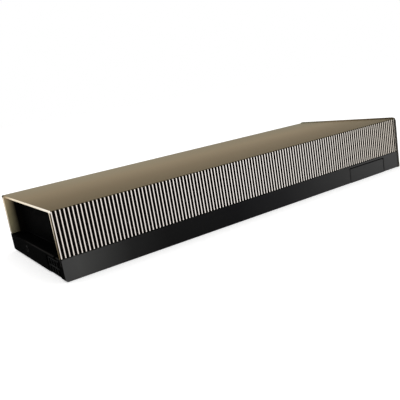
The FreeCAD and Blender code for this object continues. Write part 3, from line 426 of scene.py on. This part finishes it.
def make_bronze():
    """Satin champagne bronze with bright rib crests in painted highlight, dark grooves, painted shade inside
    the mouth and a polished mouth in painted light and shade.
    """
    material, tree, shader = new_material("champagne bronze")
    x, y, z = tree.axes(tree.place())
    along = tree.math("SUBTRACT", x, TAIL)
    across = tree.math("SUBTRACT", y, MIDDLE_Y)
    depth = tree.math("SUBTRACT", HALF_WIDTH, tree.math("ABSOLUTE", across))
    phase = tree.math("FLOORED_MODULO", along, RIB_PITCH)
    height, shade = brushing(tree, line=0.16, length=9.0)
    fine, patch = grain(tree, 0.12, 45.0)

    inside_tail = tree.above(along, CUT_FACE, soft=0.01)
    below_sheet = tree.below(z, TOP - SHEET, soft=0.1)
    groove = tree.every(groove_mask(tree, depth, phase, z), inside_tail)
    on_crest = tree.every(tree.below(depth, 0.045, soft=0.025), tree.below(z, TOP - 0.425, soft=0.175))
    inner = tree.every(tree.above(depth, SIDE_WALL - 0.25, soft=0.15), below_sheet)
    # Painted shade on the inner walls, deepening from the mouth to 6 mm in.
    painted_inner_shade = tree.every(inner, tree.between(along, 0.6, 6.0))
    # Painted shade in the back corner of the sheet at the tail.
    painted_corner_shade = tree.every(tree.above(across, HALF_WIDTH - 1.7, soft=0.5),
                             tree.below(along, 2.4, soft=0.8), tree.above(z, TOP - 1.9, soft=0.3))
    # Painted shade: the shroud below the base's top is coloured as dark as the grooves.
    hem_shade = tree.below(z, BASE_TOP, soft=0.1)

    tone = tree.blend(inner, sheet_shade(tree, along, across, shade, patch), tree.ramp(z, INNER_WALL_LIGHT_TONES))
    tone = tree.blend(painted_inner_shade, tone, INNER_SHADE_TONE)
    tone = tree.blend(on_crest, tone, crest_highlight(tree, along, phase))
    tone = tree.blend(tail_edge_mask(tree, along, z, inside_tail), tone,
                      tail_end_tone(tree, across, depth, z, below_sheet))
    tone = tree.blend(painted_corner_shade, tone, CORNER_SHADE_TONE)
    tree.feed(shader, "Base Color", tree.blend(tree.either(groove, hem_shade), tone, GROOVE_TONE))

    dull = tree.either(groove, hem_shade, painted_corner_shade, painted_inner_shade)
    tree.feed(shader, "Metallic", tree.vary(dull, 0.9, 0.0))
    satin = tree.vary(shade, 0.38, 0.48)
    satin = tree.vary(on_crest, satin, 0.34)
    satin = tree.vary(tree.off(inside_tail), satin, 0.3)
    tree.feed(shader, "Roughness", tree.vary(dull, satin, 0.9))
    shader.inputs["Specular IOR Level"].default_value = 0.1
    shader.inputs["Specular Tint"].default_value = BRONZE_SHEEN
    bumped(tree, shader, tree.weigh(height, fine, share=0.5), depth_mm=0.012)
    return material


# ---- Other finishes -----------------------------------------------------------------------------
def make_black_coating():
    """Deep satin black of the base, with a painted sheen towards both ends of its front face, a painted sheen
    on its back face and a painted highlight along the top edge of its tail wall.
    """
    material, tree, shader = new_material("black coating")
    x, y, z = tree.axes(tree.place())
    along = tree.math("SUBTRACT", x, TAIL)
    from_front = tree.math("SUBTRACT", y, BASE_FRONT)
    fine, patch = grain(tree, 0.22)
    mottle = mottled(tree, fine, patch)

    front = tree.every(tree.below(from_front, 1.0, soft=0.6), tree.above(along, 0.125, soft=0.075))
    # Painted sheen: the back face is coloured lighter than the rest of the black.
    back = tree.above(y, BASE_BACK - 1.0, soft=0.6)
    # Painted highlight along the top outer edge of the tail wall, fading towards the plug-in side.
    rim = tree.every(tree.above(z, BASE_TOP - 0.475, soft=0.075), tree.below(along, 0.6, soft=0.1),
                     tree.below(from_front, 59.0, soft=13.0))

    deep = tree.blend(mottle, colour(1, 1, 1), colour(6, 6, 6))
    # Painted sheen along the front face, brighter towards both ends.
    painted_sheen = tree.tint(tree.ramp(along, FRONT_PAINTED_SHEEN), colour(14, 14, 14), mottle, share=0.25)
    tone = tree.blend(front, deep, painted_sheen)
    tone = tree.blend(back, tone, tree.blend(mottle, colour(22, 22, 23), colour(44, 44, 45)))
    tree.feed(shader, "Base Color", tree.blend(rim, tone, colour(36, 35, 34)))
    tree.feed(shader, "Roughness", tree.vary(front, 0.8, tree.vary(mottle, 0.46, 0.56)))
    shader.inputs["Specular IOR Level"].default_value = 0.002
    bumped(tree, shader, fine, depth_mm=0.02)
    return material


def make_exhaust_rim():
    """Dark coated rim whose top edge carries on the cover's bronze with its painted shade, dark at the front
    and lighter to the back.
    """
    material, tree, shader = new_material("exhaust rim")
    y, z = tree.axes(tree.place())[1:]
    across = tree.math("SUBTRACT", y, MIDDLE_Y)
    fine, patch = grain(tree, 0.2)
    upper = tree.above(z, TOP - 0.4, soft=0.1)
    dark = tree.blend(patch, colour(74, 72, 67), colour(90, 87, 81))
    far_tone = BACK_LIGHT_TONES[-1][1]
    bronze = tree.ramp(across, [(-HALF_WIDTH, SHEET_FRONT), (0.0, SHEET_MIDDLE), (HALF_WIDTH, far_tone)])
    tree.feed(shader, "Base Color", tree.blend(upper, dark, bronze))
    tree.feed(shader, "Metallic", tree.vary(upper, 0.2, 0.9))
    tree.feed(shader, "Roughness", tree.vary(fine, 0.4, 0.5))
    shader.inputs["Specular IOR Level"].default_value = 0.15
    shader.inputs["Specular Tint"].default_value = BRONZE_SHEEN
    bumped(tree, shader, fine, depth_mm=0.015)
    return material


def make_laminate():
    """Dark solder resist over faint copper tracks."""
    track_pitch = 0.9
    material, tree, shader = new_material("solder resist")
    y = tree.axes(tree.place())[1]
    fine, patch = grain(tree, 0.25, 12.0)
    wander = tree.math("MULTIPLY", patch, 2.0)
    lane = tree.math("FLOORED_MODULO", tree.math("ADD", y, wander), track_pitch)
    from_track = tree.math("ABSOLUTE", tree.math("SUBTRACT", lane, track_pitch / 2))
    track = tree.below(from_track, 0.16, soft=0.04)
    tree.feed(shader, "Base Color", tree.blend(track, colour(10, 24, 18), colour(18, 42, 30)))
    tree.feed(shader, "Roughness", tree.vary(fine, 0.28, 0.4))
    bumped(tree, shader, track, depth_mm=0.02)
    return material


def make_coated(name, deep, light, size, roughness, metallic=0.0, depth_mm=0.02, specular=0.5):
    """Coated, moulded or plated surface with fine grain and faint patches."""
    material, tree, shader = new_material(name)
    fine, patch = grain(tree, size)
    mottle = mottled(tree, fine, patch)
    tree.feed(shader, "Base Color", tree.blend(mottle, deep, light))
    shader.inputs["Metallic"].default_value = metallic
    tree.feed(shader, "Roughness", tree.vary(mottle, roughness - 0.06, min(1.0, roughness + 0.06)))
    shader.inputs["Specular IOR Level"].default_value = specular
    bumped(tree, shader, fine, depth_mm)
    return material


def make_brushed(name, deep, light, line, length, roughness, depth_mm=0.008):
    """Metal with straight brushing lines."""
    material, tree, shader = new_material(name)
    height, shade = brushing(tree, line, length)
    tree.feed(shader, "Base Color", tree.blend(shade, deep, light))
    shader.inputs["Metallic"].default_value = 1.0
    tree.feed(shader, "Roughness", tree.vary(shade, roughness - 0.07, roughness + 0.07))
    bumped(tree, shader, height, depth_mm)
    return material


# Coated finishes: grain size in millimetres, then roughness. Brushed ones: line, length, roughness.
FINISHES = {
    "bronze_anodised": make_bronze(),
    "black_coated": make_black_coating(),
    "board_laminate": make_laminate(),
    "bracket_plated": make_brushed(
        "plated steel", colour(150, 150, 147), colour(182, 182, 178), 0.2, 12.0, 0.38),
    "contact_gold": make_brushed(
        "contact gold", colour(222, 176, 92), colour(240, 200, 120), 0.4, 3.0, 0.36, depth_mm=0.002),
    "pin_tinned": make_brushed(
        "tinned pins", colour(188, 188, 184), colour(214, 214, 210), 0.1, 4.0, 0.25),
    "ring_steel": make_brushed(
        "ring steel", colour(146, 146, 146), colour(172, 172, 172), 0.15, 8.0, 0.35),
    "copper_plated": make_brushed(
        "plated copper", colour(136, 132, 124), colour(164, 158, 148), 0.2, 20.0, 0.38),
    "spring_steel": make_brushed(
        "spring steel", colour(130, 130, 128), colour(162, 162, 158), 0.2, 14.0, 0.3),
    "screw_steel": make_brushed(
        "screw steel", colour(150, 150, 148), colour(186, 186, 182), 0.12, 4.0, 0.3),
    "black_plastic": make_coated(
        "black plastic", colour(6, 6, 6), colour(14, 14, 14), 0.3, 0.6, specular=0.015),
    # Painted shade: the tail insert is coloured near black, as dark as the shaded tail wall around it.
    "insert_nickel": make_coated(
        "shade_darkened nickel", colour(6, 6, 6), colour(14, 14, 13), 0.3, 0.5, specular=0.003),
    "package_substrate": make_coated(
        "package laminate", colour(24, 72, 44), colour(34, 88, 54), 0.2, 0.4),
    "silicon_dark": make_coated(
        "silicon", colour(34, 34, 40), colour(46, 46, 54), 0.4, 0.15, metallic=0.4, depth_mm=0.002),
    "mould_black": make_coated(
        "moulding compound", colour(24, 24, 25), colour(36, 36, 37), 0.15, 0.6),
    "paste_grey": make_coated(
        "paste", colour(140, 140, 140), colour(168, 168, 168), 0.5, 0.6),
    "fin_black": make_coated(
        "dark fins", colour(4, 4, 4), colour(10, 10, 10), 0.2, 0.6, specular=0.02),
    "foam_black": make_coated(
        "foam", colour(5, 5, 5), colour(10, 10, 10), 0.5, 0.95, depth_mm=0.1, specular=0.02),
    "ferrite_grey": make_coated(
        "ferrite", colour(70, 70, 70), colour(92, 92, 92), 0.2, 0.6),
    "pad_grey": make_coated(
        "thermal pad", colour(120, 126, 138), colour(142, 148, 158), 0.4, 0.8),
    "capacitor_case": make_coated(
        "capacitor case", colour(40, 34, 28), colour(56, 48, 40), 0.2, 0.4),
    "screw_black": make_coated(
        "black oxide", colour(22, 22, 23), colour(38, 38, 39), 0.15, 0.35, metallic=0.7),
}

# Nodes whose finish differs from the rest of their slot.
OWN_FINISHES = {
    "backplate": make_coated(
        "backplate coating", colour(20, 20, 21), colour(34, 34, 35), 0.3, 0.48, specular=0.3),
    "bridge_cover": FINISHES["black_coated"],
    "exhaust_frame": make_exhaust_rim(),
}

# Painted shade: the thread is coloured near black, like the insert that it winds in.
THREAD_FINISH = make_coated("thread nickel", colour(12, 12, 11), colour(24, 24, 22), 0.1, 0.5, specular=0.05)


def finish_of(node_name):
    """A node's own finish where it has one, and otherwise that of its slot."""
    if node_name in OWN_FINISHES:
        return OWN_FINISHES[node_name]
    return FINISHES[slots[node_name]]


def dress_nodes():
    for node_name in slots:
        mesh = nodes[node_name].data
        mesh.materials.clear()
        mesh.materials.append(finish_of(node_name))


# ---- Screws and thread --------------------------------------------------------------------------
def solid_boxes(node_name):
    """Lowest and highest corners, in millimetres, of each separate solid in a node, in order of place."""
    shape = bmesh.new()
    shape.from_mesh(nodes[node_name].data)
    bmesh.ops.remove_doubles(shape, verts=shape.verts, dist=MERGE * MM)
    waiting = set(shape.verts)
    boxes = []
    while waiting:
        front = [waiting.pop()]
        found = list(front)
        while front:
            vert = front.pop()
            near = [edge.other_vert(vert) for edge in vert.link_edges]
            fresh = [other for other in near if other in waiting]
            waiting.difference_update(fresh)
            front.extend(fresh)
            found.extend(fresh)
        corners = list(zip(*(vert.co / MM for vert in found)))
        boxes.append((Vector(map(min, corners)), Vector(map(max, corners))))
    shape.free()
    return sorted(boxes, key=lambda box: tuple(box[0]))


def finish_piece(name, shape, finish):
    """A piece in metres that rides on the card, with the finish that it is given."""
    bmesh.ops.scale(shape, vec=(MM, MM, MM), verts=shape.verts)
    mesh = bpy.data.meshes.new(name)
    shape.to_mesh(mesh)
    shape.free()
    piece = bpy.data.objects.new(name, mesh)
    bpy.context.scene.collection.objects.link(piece)
    mesh.materials.append(finish)
    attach(piece, "root")
    return piece


def ring_down(shape, ring, reach, drop):
    """Carry a ring of edges on: spread it by reach and move it down by drop."""
    made = bmesh.ops.extrude_edge_only(shape, edges=ring)["geom"]
    verts = [part for part in made if isinstance(part, bmesh.types.BMVert)]
    bmesh.ops.scale(shape, vec=(reach, reach, 1), verts=verts)
    bmesh.ops.translate(shape, vec=(0, 0, -drop), verts=verts)
    return [part for part in made if isinstance(part, bmesh.types.BMEdge)]


def sink_socket(shape, top, flat):
    """Six-lobe socket in the flat of a screw's head."""
    bmesh.ops.inset_individual(shape, faces=[top], thickness=flat - SOCKET_RADIUS)
    for vert in top.verts:
        lobe = 1 + LOBE * math.cos(LOBES * math.atan2(vert.co.y, vert.co.x))
        vert.co.x *= lobe
        vert.co.y *= lobe
    well = bmesh.ops.extrude_discrete_faces(shape, faces=[top])["faces"][0]
    bmesh.ops.translate(shape, vec=(0, 0, -SOCKET_DEPTH), verts=list(well.verts))


def cut_screw(head_radius, head, shank_radius, length):
    """Upright pan-head screw with a six-lobe socket; the top of its head lies on the XY plane."""
    shape = bmesh.new()
    flat = head_radius - PAN_ROUND
    rounded = flat + PAN_REACH * PAN_ROUND
    bmesh.ops.create_circle(shape, cap_ends=True, segments=HEAD_SIDES, radius=flat)
    top = shape.faces[:][0]
    ring = list(top.edges)
    sink_socket(shape, top, flat)
    ring = ring_down(shape, ring, rounded / flat, PAN_DROP * PAN_ROUND)
    ring = ring_down(shape, ring, head_radius / rounded, (1 - PAN_DROP) * PAN_ROUND)
    ring = ring_down(shape, ring, 1, head - PAN_ROUND)
    ring = ring_down(shape, ring, shank_radius / head_radius, 0)
    ring = ring_down(shape, ring, 1, length - head)
    bmesh.ops.holes_fill(shape, edges=ring, sides=0)
    bmesh.ops.recalc_face_normals(shape, faces=shape.faces)
    for edge in shape.edges:
        edge.smooth = edge.is_manifold and edge.calc_face_angle() < SMOOTH_ANGLE
    for face in shape.faces:
        face.smooth = len(face.verts) == 4
    mesh = bpy.data.meshes.new("screw")
    shape.to_mesh(mesh)
    shape.free()
    return mesh


def place_screws(name, node_name, turn):
    """Screws that stand for a node's plain ones; turn carries an upright screw to its own direction."""
    shape = bmesh.new()
    outward = turn @ Vector((0, 0, 1))
    axis = max(range(3), key=lambda i: abs(outward[i]))
    for low, high in solid_boxes(node_name):
        size = high - low
        screw = cut_screw(head_radius=size[(axis + 1) % 3] / 2, length=size[axis], **SCREWS[name])
        seat = (low + high) / 2
        seat[axis] = high[axis] if outward[axis] > 0 else low[axis]
        screw.transform(Matrix.Translation(seat) @ turn.to_4x4())
        shape.from_mesh(screw)
        bpy.data.meshes.remove(screw)
    piece = finish_piece(name, shape, finish_of(node_name))
    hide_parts(node_name)


def cut_thread():
    """Thread ridge that winds along the bore of the tail insert."""
    low, high = (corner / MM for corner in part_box("tail_insert"))
    turns = int((high.x - low.x - 2 * THREAD_PITCH) / THREAD_PITCH)
    start = low.x + THREAD_PITCH
    half = THREAD_PITCH * THREAD_FLANK
    flank = [(start - half, THREAD_ROOT), (start, THREAD_CREST), (start + half, THREAD_ROOT)]
    shape = bmesh.new()
    verts = [shape.verts.new((x, radius, 0)) for x, radius in flank]
    edges = [shape.edges.new((verts[i], verts[(i + 1) % 3])) for i in range(3)]
    bmesh.ops.spin(shape, geom=verts + edges, cent=(0, 0, 0), axis=(1, 0, 0),
                   dvec=(THREAD_PITCH / THREAD_STEPS, 0, 0), angle=math.tau * turns,
                   steps=THREAD_STEPS * turns, use_merge=False)
    bmesh.ops.holes_fill(shape, edges=shape.edges, sides=3)
    bmesh.ops.recalc_face_normals(shape, faces=shape.faces)
    middle = (low + high) / 2
    bmesh.ops.translate(shape, vec=(0, middle.y, middle.z), verts=shape.verts)
    finish_piece("insert_thread", shape, THREAD_FINISH)


def fit_small_pieces():
    place_screws("pan_screws", "backplate_screws", Matrix.Rotation(math.pi, 3, "X"))
    place_screws("bracket_pan_screws", "bracket_screws", Matrix.Rotation(math.pi / 2, 3, "Y"))
    cut_thread()


# ---- Camera, floor and light --------------------------------------------------------------------
def set_camera():
    turn, dip, roll = (math.radians(angle) for angle in (CAMERA_TURN, CAMERA_DIP, CAMERA_ROLL))
    ahead = Vector((math.cos(dip) * math.cos(turn), math.cos(dip) * math.sin(turn), -math.sin(dip)))
    level = ahead.cross(Vector((0, 0, 1))).normalized()
    upright = level.cross(ahead)
    right = level * math.cos(roll) + upright * math.sin(roll)
    up = upright * math.cos(roll) - level * math.sin(roll)
    data = bpy.data.cameras.new("camera")
    data.sensor_width = CAMERA_SENSOR
    data.lens = CAMERA_LENS
    data.clip_start = CAMERA_CLIP
    camera = bpy.data.objects.new("camera", data)
    turned = Matrix((right, up, -ahead)).transposed().to_4x4()
    camera.matrix_world = Matrix.Translation(CAMERA_PLACE) @ turned
    bpy.context.scene.collection.objects.link(camera)
    bpy.context.scene.camera = camera


def seen_mask(tree):
    """On for what the camera sees, straight or in a mirror or a glass, and off for what lights the card."""
    path = tree.add("ShaderNodeLightPath").outputs
    return tree.either(path["Is Camera Ray"], path["Is Glossy Ray"], path["Is Transmission Ray"])


def lay_floor():
    """Pale floor that shows white and keeps a soft shadow."""
    shape = bmesh.new()
    bmesh.ops.create_grid(shape, x_segments=1, y_segments=1, size=FLOOR_HALF)
    mesh = bpy.data.meshes.new("floor")
    shape.to_mesh(mesh)
    shape.free()
    floor = bpy.data.objects.new("floor", mesh)
    bpy.context.scene.collection.objects.link(floor)
    floor.location.z = cad_box[0].z - FLOOR_GAP
    material = bpy.data.materials.new("floor")
    material.use_nodes = True
    material.node_tree.nodes.clear()
    tree = Tree(material.node_tree)
    matte = tree.add("ShaderNodeBsdfDiffuse", Color=(FLOOR_GREY, FLOOR_GREY, FLOOR_GREY))
    strength = tree.math("MULTIPLY", seen_mask(tree), FLOOR_GLOW)
    glow = tree.add("ShaderNodeEmission", Color=(1.0, 1.0, 1.0), Strength=strength)
    both = tree.add("ShaderNodeAddShader", in0=matte.outputs[0], in1=glow.outputs[0])
    output = tree.add("ShaderNodeOutputMaterial")
    tree.feed(output, "Surface", both.outputs[0])
    mesh.materials.append(material)


def set_world():
    world = bpy.data.worlds.new("studio")
    world.use_nodes = True
    world.node_tree.nodes.clear()
    tree = Tree(world.node_tree)
    strength = tree.vary(seen_mask(tree), WORLD_LIGHT, WORLD_WHITE)
    back = tree.add("ShaderNodeBackground", Color=(1.0, 1.0, 1.0), Strength=strength)
    output = tree.add("ShaderNodeOutputWorld")
    tree.feed(output, "Surface", back.outputs[0])
    bpy.context.scene.world = world


def hang_lamp(name, place, aim, size, power):
    data = bpy.data.lights.new(name, "AREA")
    data.shape = "RECTANGLE"
    data.size, data.size_y = size
    data.energy = power
    lamp = bpy.data.objects.new(name, data)
    toward = Vector(aim) - Vector(place)
    lamp.matrix_world = Matrix.Translation(place) @ toward.to_track_quat("-Z", "Y").to_matrix().to_4x4()
    bpy.context.scene.collection.objects.link(lamp)


def light_studio():
    set_world()
    hang_lamp("overhead box", place=(0.0, 0.15, 0.9), aim=(0, 0, 0), size=(0.9, 0.6), power=1.8)
    hang_lamp("front box", place=(0.1, -0.9, 0.35), aim=(0, 0, 0.02), size=(0.9, 0.5), power=2.2)
    hang_lamp("rear box", place=(-0.75, 0.75, 0.45), aim=(0, 0, 0.02), size=(0.6, 0.5), power=1.3)


dress_nodes()
fit_small_pieces()
set_camera()
lay_floor()
light_studio()
bpy.context.scene.view_settings.view_transform = "Standard"
bpy.context.view_layer.update()
